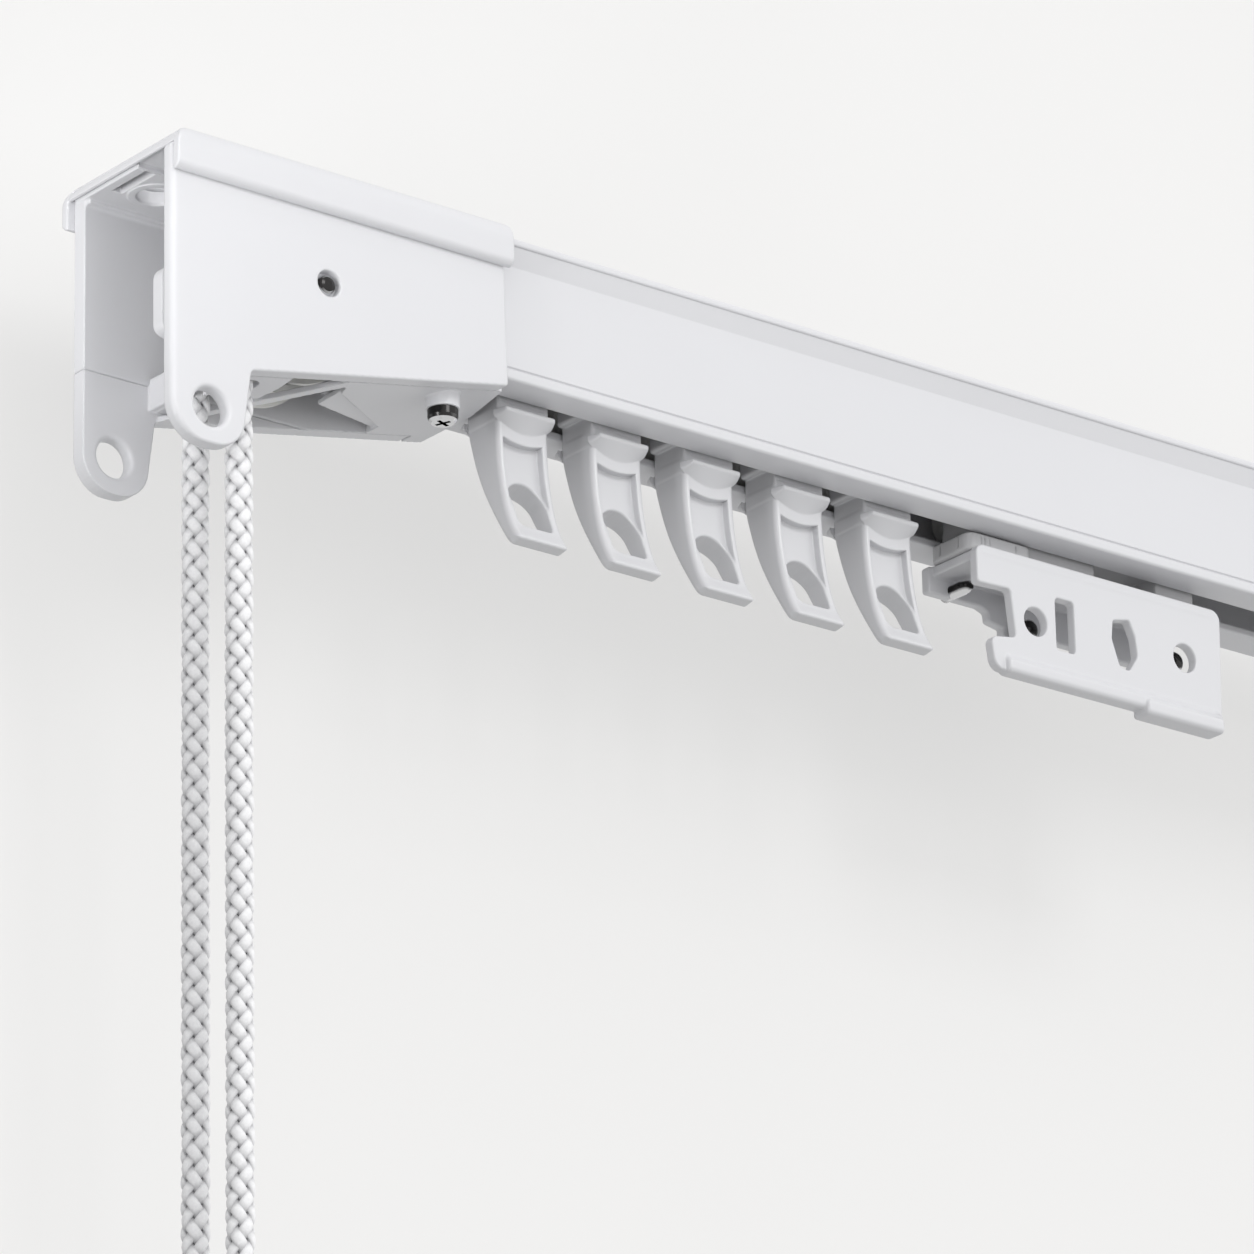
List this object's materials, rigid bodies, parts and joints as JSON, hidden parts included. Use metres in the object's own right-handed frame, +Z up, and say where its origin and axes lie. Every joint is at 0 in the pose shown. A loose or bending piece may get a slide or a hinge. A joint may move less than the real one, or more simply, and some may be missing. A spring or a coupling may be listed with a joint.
{
  "type": "corded curtain track",
  "caption": "White ceiling-mounted curtain rail with a cord-pulley end housing, roller gliders, a draw-arm carrier, a return end and a hanging braided cord loop.",
  "frame": {"origin": "centre of the end housing's ceiling screw hole, at the cap's top face", "axes": "+X along the rail away from the cord end, +Y towards the wall, +Z up to the ceiling"},
  "size_m": [0.5, 0.0251, 0.1836],
  "materials": {
    "white_housing": "satin gloss, moulded",
    "white_rail": "white powder coat, semi-gloss",
    "white_glider": "moulded, satin",
    "white_arm": "moulded, glossy",
    "grey_carrier": "moulded, matte",
    "roller_nylon": "moulded nylon",
    "bright_steel": "bright plated",
    "white_cord": "braided polyester"
  },
  "bodies": {
    "track": {"end_housing": "white_housing", "top_cap": "white_housing", "lower_bracket": "white_housing", "pulley_divider": "white_housing", "pulley_axle": "bright_steel", "clamp_screw": "bright_steel", "clamp_nut": "bright_steel", "track_rail": "white_rail", "return_housing": "white_housing", "return_cap": "white_housing", "return_bracket": "white_housing", "return_axle": "bright_steel", "return_screw": "bright_steel", "return_nut": "bright_steel", "track_cord": "white_cord", "pull_cord": "white_cord"},
    "front_pulley": {"front_pulley": "roller_nylon"},
    "rear_pulley": {"rear_pulley": "roller_nylon"},
    "return_pulley": {"return_pulley": "roller_nylon"},
    "carrier": {"carrier_body": "grey_carrier", "cord_clamp": "bright_steel", "clamp_plate_screw": "bright_steel", "draw_arm": "white_arm", "arm_web_screws": "bright_steel", "arm_pins": "bright_steel"},
    "carrier_rollers_left": {"carrier_rollers_left": "roller_nylon"},
    "carrier_rollers_right": {"carrier_rollers_right": "roller_nylon"},
    "glider_1": {"glider_1": "white_glider"},
    "glider_rollers_1": {"glider_rollers_1": "roller_nylon"},
    "glider_2": {"glider_2": "white_glider"},
    "glider_rollers_2": {"glider_rollers_2": "roller_nylon"},
    "glider_3": {"glider_3": "white_glider"},
    "glider_rollers_3": {"glider_rollers_3": "roller_nylon"},
    "glider_4": {"glider_4": "white_glider"},
    "glider_rollers_4": {"glider_rollers_4": "roller_nylon"},
    "glider_5": {"glider_5": "white_glider"},
    "glider_rollers_5": {"glider_rollers_5": "roller_nylon"}
  },
  "joints": [
    {"name": "carrier_slide", "type": "slide", "parent": "track", "child": "carrier", "axis": [1, 0, 0], "range_m": [0, 0.26]},
    {"name": "carrier_rollers_left_spin", "type": "hinge", "parent": "carrier", "child": "carrier_rollers_left", "pos_m": [0.1338, -0.00275, -0.01495], "axis": [0, 1, 0], "continuous": true},
    {"name": "carrier_rollers_right_spin", "type": "hinge", "parent": "carrier", "child": "carrier_rollers_right", "pos_m": [0.1608, -0.00275, -0.01495], "axis": [0, 1, 0], "continuous": true},
    {"name": "glider_1_slide", "type": "slide", "parent": "track", "child": "glider_1", "axis": [1, 0, 0], "range_m": [0, 0.0416]},
    {"name": "glider_rollers_1_spin", "type": "hinge", "parent": "glider_1", "child": "glider_rollers_1", "pos_m": [0.0523, -0.00275, -0.01495], "axis": [0, 1, 0], "continuous": true},
    {"name": "glider_2_slide", "type": "slide", "parent": "track", "child": "glider_2", "axis": [1, 0, 0], "range_m": [0, 0.0858]},
    {"name": "glider_rollers_2_spin", "type": "hinge", "parent": "glider_2", "child": "glider_rollers_2", "pos_m": [0.06745, -0.00275, -0.01495], "axis": [0, 1, 0], "continuous": true},
    {"name": "glider_3_slide", "type": "slide", "parent": "track", "child": "glider_3", "axis": [1, 0, 0], "range_m": [0, 0.13]},
    {"name": "glider_rollers_3_spin", "type": "hinge", "parent": "glider_3", "child": "glider_rollers_3", "pos_m": [0.0826, -0.00275, -0.01495], "axis": [0, 1, 0], "continuous": true},
    {"name": "glider_4_slide", "type": "slide", "parent": "track", "child": "glider_4", "axis": [1, 0, 0], "range_m": [0, 0.1742]},
    {"name": "glider_rollers_4_spin", "type": "hinge", "parent": "glider_4", "child": "glider_rollers_4", "pos_m": [0.09775, -0.00275, -0.01495], "axis": [0, 1, 0], "continuous": true},
    {"name": "glider_5_slide", "type": "slide", "parent": "track", "child": "glider_5", "axis": [1, 0, 0], "range_m": [0, 0.2184]},
    {"name": "glider_rollers_5_spin", "type": "hinge", "parent": "glider_5", "child": "glider_rollers_5", "pos_m": [0.1129, -0.00275, -0.01495], "axis": [0, 1, 0], "continuous": true},
    {"name": "front_pulley_spin", "type": "hinge", "parent": "track", "child": "front_pulley", "pos_m": [0.016, -0.008, -0.0157], "axis": [0, 1, 0], "continuous": true},
    {"name": "rear_pulley_spin", "type": "hinge", "parent": "track", "child": "rear_pulley", "pos_m": [0.016, 0.001, -0.0157], "axis": [0, 1, 0], "continuous": true},
    {"name": "return_pulley_spin", "type": "hinge", "parent": "track", "child": "return_pulley", "pos_m": [0.4688, -0.0035, -0.0062], "axis": [0, 0, 1], "continuous": true}
  ],
  "couplings": [
    {"joint": "carrier_rollers_left_spin", "follows": "carrier_slide", "rad_per_m": 238.1},
    {"joint": "carrier_rollers_right_spin", "follows": "carrier_slide", "rad_per_m": 238.1},
    {"joint": "glider_1_slide", "follows": "carrier_slide", "ratio": 0.16},
    {"joint": "glider_rollers_1_spin", "follows": "carrier_slide", "rad_per_m": 38.095},
    {"joint": "glider_2_slide", "follows": "carrier_slide", "ratio": 0.33},
    {"joint": "glider_rollers_2_spin", "follows": "carrier_slide", "rad_per_m": 78.571},
    {"joint": "glider_3_slide", "follows": "carrier_slide", "ratio": 0.5},
    {"joint": "glider_rollers_3_spin", "follows": "carrier_slide", "rad_per_m": 119.05},
    {"joint": "glider_4_slide", "follows": "carrier_slide", "ratio": 0.67},
    {"joint": "glider_rollers_4_spin", "follows": "carrier_slide", "rad_per_m": 159.52},
    {"joint": "glider_5_slide", "follows": "carrier_slide", "ratio": 0.84},
    {"joint": "glider_rollers_5_spin", "follows": "carrier_slide", "rad_per_m": 200},
    {"joint": "front_pulley_spin", "follows": "carrier_slide", "rad_per_m": 105.26},
    {"joint": "rear_pulley_spin", "follows": "carrier_slide", "rad_per_m": -105.26},
    {"joint": "return_pulley_spin", "follows": "carrier_slide", "rad_per_m": 222.22}
  ]
}
